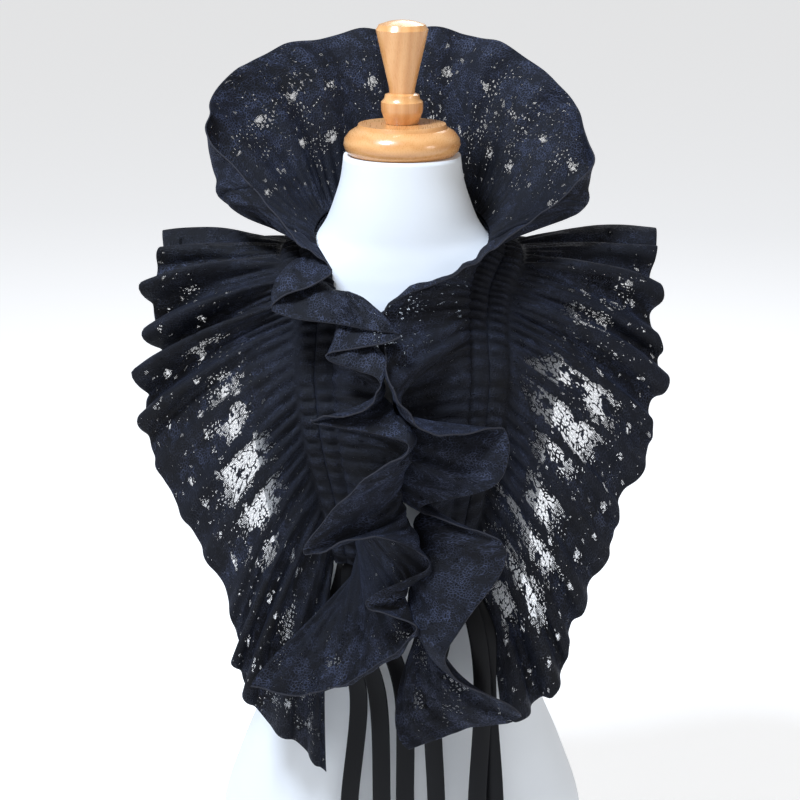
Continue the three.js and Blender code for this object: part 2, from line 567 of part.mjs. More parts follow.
const lastOuter = OUTER_RIDGES.length - 1;
const lastInner = INNER_TURNS.length - 1;
const before = (row) => row - SEAM_SHARE;
const after = (row) => row + SEAM_SHARE;
add("wing_left", rufflePiece(OUTER, 0, before(LEFT_SHOULDER_ROW)), LACE);
add("back_cape", rufflePiece(OUTER, after(LEFT_SHOULDER_ROW), before(RIGHT_SHOULDER_ROW)), LACE);
add("wing_right", rufflePiece(OUTER, after(RIGHT_SHOULDER_ROW), lastOuter), LACE);
add("jabot_left", rufflePiece(JABOT, 0, before(LEFT_JABOT_ROW)), LACE);
add("collar", rufflePiece(COLLAR, after(LEFT_JABOT_ROW), before(RIGHT_JABOT_ROW)), LACE);
add("jabot_right", rufflePiece(JABOT, after(RIGHT_JABOT_ROW), lastInner), LACE);

for (const ribbon of RIBBONS) add(ribbon.name, ribbonGeometry(ribbon), SATIN);

export default group;
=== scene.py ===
"""A ruffled lace shrug on a limbless dress form: its fine shapes, finishes, light and camera.

The shrug is one long strip of lace, gathered along its middle on a shirred casing that lies round
the neck and down both fronts. Lengths in the tables are millimetres. Meshes are made in metres.
"""
import math

import bpy
import numpy as np
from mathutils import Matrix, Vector


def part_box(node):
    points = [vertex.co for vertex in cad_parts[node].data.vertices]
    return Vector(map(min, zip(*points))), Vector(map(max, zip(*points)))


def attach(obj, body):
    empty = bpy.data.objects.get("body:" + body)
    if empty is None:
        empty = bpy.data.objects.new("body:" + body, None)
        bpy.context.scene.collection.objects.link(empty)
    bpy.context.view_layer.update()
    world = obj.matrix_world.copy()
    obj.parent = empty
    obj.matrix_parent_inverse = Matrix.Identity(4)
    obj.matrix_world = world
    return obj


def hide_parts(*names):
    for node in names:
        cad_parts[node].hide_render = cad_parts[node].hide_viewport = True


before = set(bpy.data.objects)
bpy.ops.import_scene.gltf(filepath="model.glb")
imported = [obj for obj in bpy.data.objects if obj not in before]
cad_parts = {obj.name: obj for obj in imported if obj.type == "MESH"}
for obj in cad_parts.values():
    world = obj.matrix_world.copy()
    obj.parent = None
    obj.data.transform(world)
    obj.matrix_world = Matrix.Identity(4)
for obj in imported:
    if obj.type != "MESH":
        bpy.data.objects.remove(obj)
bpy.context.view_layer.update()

MM = 0.001
BODY = "root"

# ---- Driving sizes ----
LACE_WALL = 1.2  # the solid's wall
LACE_SHEET = 0.6  # the lace itself
SEAM_GAP = 0.3  # pieces lie this far apart
TOUCH = LACE_WALL / 2 + SEAM_GAP
FORM_ROUNDNESS = 2.25  # 2 would be an ellipse
GATHERS = 96  # from one front end of the casing to the other
GATHER_HEIGHT = 1.3
CASING_LIFT = LACE_WALL / 2 + GATHER_HEIGHT + 0.7
INNER_ROOT_RISE = GATHER_HEIGHT + LACE_WALL
INNER_RISE = 22  # how steeply the inner half leaves the casing
RUFFLE_BOW = 0.07  # how far the outer half bows away from a straight fall
SIDE_SEAM = 0.3  # where the casing's three pieces meet
CASING_SEAM = 0.002
HEM_ROLL = 0.55  # radius of the rolled hem
SATIN_SHEET = 0.5
RIBBON_WIDTH = 18
RIBBON_EXIT_WIDTH = 7
RIBBON_CLEARS = 12  # it leaves its channel straight for this length
RIBBON_SPREAD = 0.3  # by this share of its length a ribbon has its whole width
RIBBON_CUP = 1.6  # how far it bows across its width
RIBBON_TWIST = 0.22
RIBBON_SLANT = 5  # its end is cut slanting

# ---- Grids and fine form ----
DEPTH_STEPS = 46  # grid steps from a ruffle's root to its free edge
OUTER_STEPS = 20  # grid steps for each row of a table
JABOT_STEPS = 12
COLLAR_STEPS = 18
CASING_STEPS = 6  # grid steps for each flank of a gather
CASING_ACROSS = 24  # grid steps from edge to edge of the casing
CASING_PUFFS = 4  # rows of puffs between its stitch lines
RIBBON_STEPS = 72
FORM_TURNS = 128
WOOD_TURNS = 96
FLOOR_LEVEL = -0.6
HEM_TURNS = (40, 95, 150, 205, 260, 315)
HEADING_SHARES = (0.5, 0.56, 0.65, 0.76, 0.88)  # rows of gathers over the outer half of the casing
HEADING_FREE = 0.18  # this far from the middle stitch line the gathers stand at full height
HEADING_CLEARS = 0.2
HEADING_PUCKER = 2.6
RUFFLE_PUCKER = 2.3
JABOT_CREASE = 1.9
COLLAR_CREASE = 0.5
COLLAR_CALM = 0.6  # the collar's edge is drawn tighter than its wall
CALM_ROWS = [(1.5, 8.2), (27.6, 34.2)]  # the wings' broad single panels, which hang nearly flat
WING_CALM = 0.45
FULL_WAVE = 34  # height of a wave, from hollow to ridge, whose flanks swing out fully
FOLD_LEAN = 0.05  # how far a fold's crown leans down the body, in rows
PANEL_WANDER = 0.08  # each open panel starts and ends at its own depth
SCENE_SEAM = 0.004  # in rows
CASING_FULLNESS = 2.4  # lace in each length of casing
CASING_RELIEF = 1.3  # lace in each width of casing
PATTERN_SHIFT = 400  # sets the flowers of neighbouring pieces apart

# The lace's pattern, in metres
NET_CELL = 0.0048
WIDE_NET_CELL = 0.0115
TULLE_CELL = 0.0017
STITCH_CELL = 0.003
FLOWER_CELL = 0.034
FLOWER_REACH = 0.0125
LEAF_CELL = 0.019
LEAF_REACH = 0.0062
MOTIF_PULL = 0.005  # how far the flowers and leaves are drawn out of shape

# The sheer attribute runs from 0, closed lace, to 1, open. These two stand for what is sewn.
SHIRRED = -0.6
HEMMED = -1.0


# ---- Tables ----
def columns(names, rows):
    """A table as one array for each named column."""
    return {name: np.array([row[i] for row in rows], float) for i, name in enumerate(names.split())}


FORM = columns(
    "z side front back",
    [
        (0, 173, 106, 112),
        (50, 183, 110, 118),
        (105, 186, 110, 120),
        (170, 166, 103, 113),
        (240, 138, 94, 97),
        (315, 121, 88, 84),
        (390, 128, 94, 86),
        (460, 141, 108, 93),
        (530, 151, 121, 100),
        (585, 159, 112, 105),
        (625, 170, 92, 105),
        (655, 172, 78, 101),
        (676, 152, 69, 95),
        (692, 116, 63, 87),
        (706, 88, 59, 80),
        (722, 75, 57, 74),
        (745, 66, 55, 69),
        (765, 60, 54, 64),
        (787, 57, 54, 60),
    ],
)
CAP_PROFILE = [
    (51, 0),
    (55, 4),
    (57, 10),
    (56, 16),
    (51.5, 22),
    (46, 25.4),
    (44.2, 26),
    (42.5, 30),
]
FINIAL_PROFILE = [
    (15.5, 0),
    (18.5, 7),
    (20.4, 13),
    (20.4, 21),
    (17.4, 24),
    (16.6, 28),
    (12.4, 29.5),
    (12.6, 34),
    (24.6, 86),
    (25.4, 90),
    (22.5, 95),
    (13, 98),
]
FINIAL_CROWN = 99.5
CROWN_SHARES = (0.8, 0.55, 0.25)  # the crown draws in ring by ring
CROWN_STEP = 0.33  # and rises by this share each time

# The casing's inner and outer edge from the middle of the back (at 0) to a front end (at 1).
CASING = columns(
    "at inner_turn inner_z outer_turn outer_z",
    [
        (0, 90, 727, 90, 691),
        (0.1, 60, 727, 60, 691),
        (0.2, 30, 723, 29, 693),
        (0.3, 5, 715, 6, 693),
        (0.4, -20, 704, -13, 688),
        (0.5, -39, 686, -27, 672),
        (0.6, -49, 656, -35, 647),
        (0.7, -56, 608, -41, 604),
        (0.8, -62, 545, -47, 544),
        (0.9, -65, 475, -51, 475),
        (1, -67, 402, -53, 402),
    ],
)
# The outer half of the strip: where each ridge starts on the casing, where it meets the free edge,
# how far it stands out, and how far the hollow after it does.
OUTER_RIDGES = columns(
    "at x y z deep dip",
    [
        (-1, -76, -112, 186, 4, -6),
        (-0.975, -100, -112, 212, 8, -9),
        (-0.945, -142, -110, 246, 14, -12),
        (-0.91, -160, -106, 284, 11, -14),
        (-0.875, -166, -100, 320, 16, 4),
        (-0.84, -178, -92, 374, 12, -2),
        (-0.785, -205, -83, 420, 16, 5),
        (-0.73, -230, -73, 466, 13, 3),
        (-0.67, -250, -60, 508, 14, -6),
        (-0.605, -259, -50, 552, 15, -18),
        (-0.53, -245, -39, 592, 20, -16),
        (-0.455, -252, -26, 636, 18, -17),
        (-0.38, -248, -10, 678, 20, 6),
        (-0.3, -236, 12, 706, 14, -10),
        (-0.24, -238, 58, 678, 18, -15),
        (-0.18, -208, 108, 640, 13, -6),
        (-0.12, -156, 156, 600, 20, -18),
        (-0.07, -98, 184, 574, 12, -9),
        (-0.02, -32, 196, 560, 19, -16),
        (0.03, 34, 196, 562, 11, -14),
        (0.075, 100, 184, 572, 18, -14),
        (0.125, 160, 154, 602, 12, -17),
        (0.18, 212, 110, 636, 20, -8),
        (0.24, 246, 58, 676, 13, -15),
        (0.3, 253, 12, 704, 14, 6),
        (0.38, 250, -10, 672, 19, -17),
        (0.455, 252, -26, 630, 17, 5),
        (0.53, 262, -38, 588, 20, -18),
        (0.605, 247, -50, 546, 14, 2),
        (0.67, 245, -62, 505, 17, -13),
        (0.73, 217, -74, 462, 13, 3),
        (0.785, 211, -82, 422, 16, -4),
        (0.84, 186, -90, 376, 12, -14),
        (0.885, 169, -96, 332, 16, 4),
        (0.93, 162, -98, 290, 13, -12),
        (0.97, 136, -99, 252, 14, -8),
        (1, 100, -98, 230, 8, -4),
    ],
)
LEFT_SHOULDER_ROW = 13
RIGHT_SHOULDER_ROW = 24
# The inner half of the strip: each turn of its folds, by a point in its middle and one on its free
# edge.
INNER_TURNS = columns(
    "at mid_x mid_y mid_z x y z deep",
    [
        (-1, -92, -128, 352, -146, -142, 292, 0),
        (-0.985, -66, -136, 352, -98, -158, 288, 0),
        (-0.968, -36, -144, 362, -42, -172, 312, 0),
        (-0.95, -14, -146, 388, 14, -182, 366, 0),
        (-0.93, -8, -144, 412, -34, -172, 388, 0),
        (-0.905, -8, -146, 440, 27, -168, 424, 0),
        (-0.88, -6, -146, 470, -26, -184, 458, 0),
        (-0.85, -8, -146, 500, -92, -174, 438, 0),
        (-0.81, -6, -148, 536, -44, -188, 506, 0),
        (-0.77, -22, -150, 568, 6, -187, 548, 0),
        (-0.735, -22, -144, 590, -84, -160, 562, 0),
        (-0.705, -32, -142, 610, -36, -178, 576, 0),
        (-0.67, -38, -126, 634, -22, -170, 606, 0),
        (-0.635, -58, -113, 654, -70, -149, 622, 0),
        (-0.6, -48, -106, 670, -2, -154, 643, 0),
        (-0.565, -96, -86, 686, -122, -122, 660, 0),
        (-0.53, -80, -66, 706, -66, -112, 694, 0),
        (-0.49, -114, -40, 720, -98, -82, 716, 0),
        (-0.43, -152, -18, 732, -142, -34, 760, 2),
        (-0.36, -148, 12, 756, -186, 8, 802, 4),
        (-0.27, -122, 50, 778, -184, 58, 840, 5),
        (-0.18, -88, 80, 796, -146, 98, 870, 6),
        (-0.09, -46, 100, 806, -80, 128, 888, 5),
        (0, 0, 108, 808, -4, 140, 894, 6),
        (0.09, 46, 100, 806, 70, 130, 890, 5),
        (0.18, 86, 80, 794, 130, 98, 866, 6),
        (0.27, 118, 50, 776, 170, 56, 828, 5),
        (0.36, 144, 12, 750, 184, 4, 780, 4),
        (0.43, 150, -18, 726, 152, -28, 748, 2),
        (0.49, 92, -60, 714, 98, -80, 720, 0),
        (0.54, 60, -88, 692, 52, -106, 692, 0),
        (0.59, 26, -103, 672, -14, -124, 664, 0),
        (0.63, 16, -110, 644, -16, -134, 634, 0),
        (0.665, 24, -134, 612, -10, -184, 600, 0),
        (0.7, 15, -130, 600, 29, -188, 557, 0),
        (0.745, 0, -127, 572, 94, -164, 554, 0),
        (0.79, -6, -127, 544, 86, -178, 506, 0),
        (0.835, -2, -124, 512, 16, -156, 476, 0),
        (0.87, 28, -134, 482, 86, -186, 456, 0),
        (0.9, 12, -132, 452, 92, -188, 424, 0),
        (0.935, 16, -136, 404, 40, -194, 334, 0),
        (0.96, 30, -134, 366, 114, -160, 270, 0),
        (0.98, 18, -130, 342, 62, -146, 248, 0),
        (1, 8, -126, 322, 6, -148, 228, 0),
    ],
)
LEFT_JABOT_ROW = 18
RIGHT_JABOT_ROW = 28
RIBBONS = [
    # name, side, channel, x at each height of the fall, end height, proud
    ("ribbon_1", -1, 0.78, (-64, -43, -52), 84, 0),
    ("ribbon_2", -1, 0.5, (-46, -24, -20), 66, 5),
    ("ribbon_3", -1, 0.22, (-22, 1, 3), 92, 0),
    ("ribbon_4", 1, 0.22, (42, 30, 34), 74, 2),
    ("ribbon_5", 1, 0.5, (72, 79, 74), 88, 7),
    ("ribbon_6", 1, 0.78, (82, 84, 92), 68, 1),
]
RIBBON_FALL = [(340, -104), (270, -110), (160, -120)]  # height and y

# How each ruffle is divided in the solid, for the places of its open gaps.
OUTER = {
    "stations": (0.14, 0.36, 0.5, 0.64, 0.86),
    "bands": [(0.3, 0), (0.352, 1), (0.56, 0), (0.612, 1), (0.81, 0), (0.862, 1), (1, 0)],
    "overhang": 0.015,
    "notch": 0.02,
    "gap_every": 3,
}
COLLAR = {
    "stations": (0, 0.25, 0.5, 0.75),
    "bands": [(0.22, 0), (0.42, 0), (0.475, 1), (0.66, 0), (0.715, 1), (0.87, 0), (1, 0)],
    "overhang": 0,
    "notch": 0,
    "gap_every": 3,
}
JABOT = {
    "stations": (0, 0.25, 0.5, 0.75),
    "bands": [(0.2, 0), (0.4, 0), (0.6, 0), (0.8, 0), (0.86, 1), (1, 0)],
    "overhang": 0,
    "notch": 0,
    "gap_every": 4,
}
# Where the lace lies single and its open ground shows light: first and last row, first and last
# depth, how open.
WING_WINDOWS = [
    (0.2, 2.2, 0.45, 0.9, 0.6),
    (3.6, 8.3, 0.26, 0.64, 1.0),
    (8.9, 9.6, 0.4, 0.62, 0.75),
    (11.1, 12.3, 0.45, 0.78, 1.0),
    (25.2, 26.3, 0.4, 0.76, 1.0),
    (26.7, 27.7, 0.18, 0.72, 0.95),
    (28.4, 33.3, 0.14, 0.66, 1.0),
    (33.6, 35.7, 0.12, 0.66, 1.0),
]
CAPE_WINDOWS = [
    (14.2, 16.6, 0.35, 0.7, 0.5),
    (17.6, 20.2, 0.4, 0.75, 0.6),
    (21.0, 23.0, 0.35, 0.7, 0.5),
]
COLLAR_WINDOWS = [
    (18.8, 21.4, 0.35, 0.85, 0.34),
    (22.2, 24.0, 0.4, 0.8, 0.22),
    (24.4, 27.4, 0.35, 0.85, 0.34),
]
JABOT_WINDOWS = [
    (-0.5, 3.2, 0.55, 0.95, 0.45),
    (13.6, 14.6, 0.45, 0.98, 0.7),
    (30.4, 31.8, 0.3, 0.8, 0.4),
    (36.6, 38.2, 0.4, 0.8, 0.4),
    (40.4, 43.2, 0.5, 0.95, 0.45),
]
# The solid's gaps lie on lines that wander a little from row to row.
ROW_WANDER = 0.035
ROW_WANDER_RATE = 1.9


# ---- Curves through a table ----
def column_at(column, place):
    """A smooth curve through a column's values, at whole and broken row numbers."""
    place = np.asarray(place, float)
    row = np.clip(np.floor(place).astype(int), 0, len(column) - 2)
    t = place - row
    longer = np.concatenate([[2 * column[0] - column[1]], column, [2 * column[-1] - column[-2]]])
    before, a, b, after = longer[row], longer[row + 1], longer[row + 2], longer[row + 3]
    slope_a, slope_b = (b - before) / 2, (after - a) / 2
    t2, t3 = t * t, t * t * t
    return (
        a * (2 * t3 - 3 * t2 + 1)
        + slope_a * (t3 - 2 * t2 + t)
        + b * (3 * t2 - 2 * t3)
        + slope_b * (t3 - t2)
    )


def row_reaching(column, value):
    return np.interp(value, column, np.arange(len(column)))


def unit(vectors):
    return vectors / np.maximum(np.linalg.norm(vectors, axis=-1, keepdims=True), 1e-9)


def mix(a, b, share):
    return a + (b - a) * share


# ---- The form's skin and the casing on it ----
def form_radius(turn, z):
    row = row_reaching(FORM["z"], z)
    side = column_at(FORM["side"], row)
    depth = np.where(np.sin(turn) < 0, column_at(FORM["front"], row), column_at(FORM["back"], row))
    across = np.abs(np.cos(turn)) / side
    along = np.abs(np.sin(turn)) / depth
    return (across**FORM_ROUNDNESS + along**FORM_ROUNDNESS) ** (-1 / FORM_ROUNDNESS)


def on_form(turn, z, lift):
    turn, z, lift = np.broadcast_arrays(*(np.asarray(v, float) for v in (turn, z, lift)))

    def at(angle, height):
        radius = form_radius(angle, height)
        return np.stack([radius * np.cos(angle), radius * np.sin(angle), height], -1)

    around = at(turn + 0.02, z) - at(turn - 0.02, z)
    up = at(turn, z + 1.5) - at(turn, z - 1.5)
    return at(turn, z) + unit(np.cross(around, up)) * lift[..., None]


def on_casing(at, across, lift=CASING_LIFT):
    """The casing's middle layer: at runs along it, across from its inner edge (0) to its outer."""
    at = np.asarray(at, float)
    row = row_reaching(CASING["at"], np.abs(at))
    turn = mix(column_at(CASING["inner_turn"], row), column_at(CASING["outer_turn"], row), across)
    z = mix(column_at(CASING["inner_z"], row), column_at(CASING["outer_z"], row), across)
    point = on_form(np.radians(turn), z, lift)
    point[..., 0] *= np.where(at < 0, -1, 1)
    return point


def ruffle_root(at, across):
    edge = on_casing(at, across, CASING_LIFT + (INNER_ROOT_RISE if across == 0 else 0))
    inside = on_casing(at, 0.1 if across == 0 else 0.9)
    return edge + unit(on_casing(at, across) - inside) * TOUCH


# ---- The ruffles' lie ----
def outer_lie(row, depth):
    value = {key: column_at(OUTER_RIDGES[key], row) for key in ("at", "x", "y", "z")}
    root = ruffle_root(value["at"], 1)
    edge = np.stack([value["x"], value["y"], value["z"]], -1)
    middle = (root + edge) / 2
    outwards = unit(np.stack([middle[:, 0] * 0.4, middle[:, 1], np.full(len(middle), 60.0)], -1))
    reach = np.linalg.norm(edge - root, axis=-1, keepdims=True)
    middle = middle + outwards * 2 * RUFFLE_BOW * reach
    t = depth[..., None]
    return root[:, None] * (1 - t) ** 2 + middle[:, None] * 2 * t * (1 - t) + edge[:, None] * t * t


def inner_lie(row, depth):
    value = {key: column_at(INNER_TURNS[key], row) for key in INNER_TURNS}
    root = ruffle_root(value["at"], 0)
    rise = on_casing(value["at"], 0, CASING_LIFT + 1) - on_casing(value["at"], 0)
    first = root + rise * INNER_RISE
    middle = np.stack([value["mid_x"], value["mid_y"], value["mid_z"]], -1)
    edge = np.stack([value["x"], value["y"], value["z"]], -1)
    second = (middle * 8 - root - edge - first * 3) / 3
    t = depth[..., None]
    return (
        root[:, None] * (1 - t) ** 3
        + first[:, None] * 3 * t * (1 - t) ** 2
        + second[:, None] * 3 * t * t * (1 - t)
        + edge[:, None] * t**3
    )


def fold_section(row):
    """A broad ridge at each whole row number and a narrow trough between."""
    return 1 - 2 * np.abs(np.sin(np.pi * row)) ** 3


def folded(lie, table, division, row, depth):
    """Points of a ruffle on a grid of row numbers and depths, with its waves."""
    lean = FOLD_LEAN * np.tanh(4 * column_at(table["at"], row)) * np.sin(2 * np.pi * row)
    fold = fold_section(row + lean)[:, None]
    deep = column_at(table["deep"], row)[:, None]
    if "dip" in table:
        dip = column_at(table["dip"], np.maximum(row - 0.5, 0))[:, None]
        drawn_flat = np.zeros_like(row)
        for first, last in CALM_ROWS:
            drawn_flat = drawn_flat + between(first, last, 1, row)
        still = 1 - WING_CALM * drawn_flat[:, None]
        deep, dip = deep * still, dip * still
    else:
        deep = deep * COLLAR_CALM
        dip = -deep
    sharp = np.clip((deep - dip) / FULL_WAVE, 0.1, 1)
    drawn = depth[None, :] * (1 - division["notch"] * sharp * (1 - fold) / 2)
    small = 0.03
    along = unit(lie(row + small, drawn) - lie(row - small, drawn))
    down = lie(row, drawn + small) - lie(row, np.maximum(drawn - small, 0))
    outwards = unit(np.cross(down, along))
    growth = depth[None, :] * (1.6 - 0.6 * depth[None, :])
    whole = np.zeros((len(row), 1))
    reach = np.linalg.norm(lie(row, whole) - lie(row, whole + 1), axis=-1)
    swing = division["overhang"] * sharp * reach * np.sin(4 * np.pi * row)[:, None]
    height = growth * (deep * (1 + fold) + dip * (1 - fold)) / 2
    aside = swing * growth * depth[None, :]
    return lie(row, drawn) + outwards * height[..., None] + along * aside[..., None]


OUTER_HALF = {"lie": outer_lie, "table": OUTER_RIDGES, "seed": 4, "is_outer": True}
INNER_HALF = {"lie": inner_lie, "table": INNER_TURNS, "seed": 7, "is_outer": False}


def normals(grid):
    along = np.gradient(grid, axis=0)
    down = np.gradient(grid, axis=1)
    return unit(np.cross(down, along))


def soft_step(low, high, value):
    t = np.clip((value - low) / (high - low), 0, 1)
    return t * t * (3 - 2 * t)


def between(first, last, soft, value):
    """1 between two values and 0 beyond them, with a soft change at each."""
    rise = soft_step(first - soft, first + soft, value)
    return rise * (1 - soft_step(last - soft, last + soft, value))


# ---- Cloth meshes ----
def new_mesh_object(name, vertices, faces):
    mesh = bpy.data.meshes.new(name)
    mesh.from_pydata([tuple(v) for v in vertices], [], faces)
    mesh.update()
    piece = bpy.data.objects.new(name, mesh)
    bpy.context.scene.collection.objects.link(piece)
    return piece


def point_values(mesh, name, values):
    layer = mesh.attributes.new(name, "FLOAT", "POINT")
    layer.data.foreach_set("value", values.reshape(-1).astype(np.float32))


def cloth(name, grid, flat_u, flat_v, sheer, thickness, finish):
    """A sheet on a grid of points, with its flat lengths as UVs and how open it is."""
    n, m = grid.shape[:2]
    faces = []
    for i in range(n - 1):
        for j in range(m - 1):
            a = i * m + j
            faces.append((a, a + 1, a + m + 1, a + m))
    piece = new_mesh_object(name, grid.reshape(-1, 3) * MM, faces)
    mesh = piece.data
    corner = np.empty(len(mesh.loops), int)
    mesh.loops.foreach_get("vertex_index", corner)
    flat = np.stack([flat_u.reshape(-1), flat_v.reshape(-1)], -1) * MM
    layer = mesh.uv_layers.new(name="flat")
    layer.data.foreach_set("uv", flat[corner].reshape(-1).astype(np.float32))
    point_values(mesh, "sheer", sheer)
    mesh.shade_smooth()
    mesh.materials.append(finish)
    wall = piece.modifiers.new("wall", "SOLIDIFY")
    wall.thickness = thickness * MM
    wall.offset = 0
    wall.use_even_offset = False
    return piece


def with_hem(grid, roll):
    """The grid with a rolled hem along its free edge."""
    edge, before = grid[:, -1], grid[:, -2]
    down = unit(edge - before)
    along = unit(np.gradient(edge, axis=0))
    out = unit(np.cross(down, along))
    rows = [grid]
    for turn in np.radians(HEM_TURNS):
        point = edge + out * roll * (1 - math.cos(turn)) + down * roll * math.sin(turn)
        rows.append(point[:, None])
    return np.concatenate(rows, axis=1)


def gap_places(division, first, last):
    """Where the solid's ruffle is open: lowest and highest row number and depth of each gap."""
    stations = [first]
    for whole in range(math.floor(first), math.floor(last) + 1):
        for share in division["stations"]:
            if whole + share > first + share / 9 and whole + share < last:
                stations.append(whole + share)
    stations.append(last)
    places = []
    for i in range(1, len(stations) - 2):
        start = 0
        for j, (to, is_open) in enumerate(division["bands"]):
            if is_open and (i + j) % division["gap_every"] == 0:
                middle = (stations[i] + stations[i + 1]) / 2
                wander = ROW_WANDER * math.sin(ROW_WANDER_RATE * middle)
                shift = wander * 4 * to * (1 - to)
                places.append((stations[i], stations[i + 1], start + shift, to + shift))
            start = to
    return places


def gathered(at):
    """The uneven gathers of the strip, from -1 to 1."""
    return np.cos(np.pi * GATHERS * at + 1.5 * np.sin(23 * at)) * (0.7 + 0.3 * np.sin(31 * at + 1))


def heading_row(table, row, share):
    """A row of the gathers that cover the casing. They are flat where a stitch line holds them."""
    at = column_at(table["at"], row)
    free = min(abs(share - 0.5) / HEADING_FREE, 1)
    rise = (0.25 + 0.75 * free) * (1.0 + gathered(at))
    clear = CASING_LIFT + GATHER_HEIGHT + LACE_SHEET + HEADING_CLEARS
    return on_casing(at, share, clear + HEADING_PUCKER * rise)


def held_in(d):
    """How tightly the gathers hold the lace at each depth."""
    return soft_step(0, 0.05, d) * (1 - soft_step(0.12, 0.55, d))


def crease(r, d, seed):
    """Soft creases that wander across the folds."""
    waves = (
        0.9 * np.sin(2 * np.pi * (1.55 * r + 0.31 * np.sin(1.7 * r + seed)) + seed)
        + 0.6 * np.sin(2 * np.pi * (2.6 * r + 0.6 * d) + 2.3 * seed)
        + 0.7 * np.sin(9.0 * d + 2.1 * r + seed) * np.sin(1.3 * r + seed)
    )
    return waves * soft_step(0.12, 0.6, d) * (1 - 0.35 * soft_step(0.85, 1, d))


def openness(r, d, division, windows, first, last, is_outer):
    """How open the lace is, at the solid's gaps and where it lies single between two folds."""
    gaps = np.zeros((len(r), d.shape[1]))
    for row_a, row_b, depth_a, depth_b in gap_places(division, first, last):
        across = (r - (row_a + row_b) / 2) / ((row_b - row_a) / 2)
        deep = (d - (depth_a + depth_b) / 2) / ((depth_b - depth_a) / 2)
        gaps = np.maximum(gaps, 1 - soft_step(0.75, 1.5, np.hypot(across, deep)))
    single = np.zeros(gaps.shape)
    own = PANEL_WANDER * np.sin(4.7 * np.floor(r + 0.5) + 1)
    for row_a, row_b, depth_a, depth_b, strength in windows:
        start, end = depth_a + own, depth_b - 1.2 * own
        down = soft_step(start - 0.1, start + 0.1, d) * (1 - soft_step(end - 0.12, end + 0.12, d))
        single = np.maximum(single, strength * between(row_a, row_b, 0.4, r) * down)
    if is_outer:
        single = single * soft_step(-1.0, -0.3, fold_section(r) + 0.7 * (d - 0.45))
    return np.clip(np.maximum(gaps, single), 0, 1)


def painted_light_and_shade(r, d, at, is_outer):
    """Painted highlight on crowns, gathers and free edges; painted shade in hollows and at roots.
    """
    if is_outer:
        crown = ((1 + fold_section(r)) / 2) ** 1.5 * (0.7 + 0.3 * np.sin(2.7 * r + 1))
        return crown * soft_step(0.05, 0.4, d) + 0.35 * (1 + gathered(at)) * held_in(d)
    return 0.25 + 0.75 * soft_step(0.3, 0.95, d) + 0.2 * np.sin(3.1 * r + 4 * d)


def ruffle(name, half, division, windows, first, last, steps, finish):
    """One piece of the lace strip between two rows of its half's table."""
    table, seed, is_outer = half["table"], half["seed"], half["is_outer"]
    count = int(round((last - first) * steps)) + 1
    row = np.linspace(first, last, count)
    depth = np.linspace(0, 1, DEPTH_STEPS + 1)
    r, d = row[:, None], depth[None, :]
    at = column_at(table["at"], row)[:, None]
    grid = folded(half["lie"], table, division, row, depth)
    in_collar = between(LEFT_JABOT_ROW, RIGHT_JABOT_ROW, 1, r)
    strength = 1 if is_outer else mix(JABOT_CREASE, COLLAR_CREASE, in_collar)
    raised = RUFFLE_PUCKER * gathered(at) * held_in(d) + crease(r, d, seed) * strength
    grid = grid + normals(grid) * raised[..., None]
    sheer = openness(r, d, division, windows, first, last, is_outer)
    sheer[:, 0] = SHIRRED
    # crown holds painted light and shade: lighter on crowns and free edges, darker in hollows.
    crown = painted_light_and_shade(r, d, at, is_outer)

    shares = HEADING_SHARES if is_outer else [1 - share for share in HEADING_SHARES]
    heading = [heading_row(table, row, share) for share in shares]
    grid = np.concatenate([np.stack(heading, axis=1), with_hem(grid, HEM_ROLL)], axis=1)
    sewn = np.full((count, len(shares)), SHIRRED)
    hem = np.full((count, len(HEM_TURNS)), HEMMED)
    sheer = np.concatenate([sewn, sheer, hem], axis=1)
    # Painted light over the headings follows their gathers; the hem takes the free edge's.
    painted_light_on_headings = np.repeat(0.3 + 0.35 * gathered(at), len(shares), axis=1)
    painted_light_on_hem = np.repeat(crown[:, -1:], len(HEM_TURNS), axis=1)
    crown = np.concatenate([painted_light_on_headings, crown, painted_light_on_hem], axis=1)

    edge = DEPTH_STEPS + len(shares)
    edge_step = np.linalg.norm(np.diff(grid[:, edge], axis=0), axis=-1)
    along = np.concatenate([[0], np.cumsum(edge_step)])
    flat_u = np.repeat(along[:, None], grid.shape[1], axis=1) + PATTERN_SHIFT * (seed + first)
    down_step = np.linalg.norm(np.diff(grid, axis=1), axis=-1)
    flat_v = np.concatenate([np.zeros((count, 1)), np.cumsum(down_step, axis=1)], axis=1)
    piece = cloth(name, grid, flat_u, flat_v, sheer, LACE_SHEET, finish)
    # The crown attribute carries this painted light and shade into the lace's colour.
    point_values(piece.data, "crown", crown)
    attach(piece, BODY)
    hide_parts(name.lower())


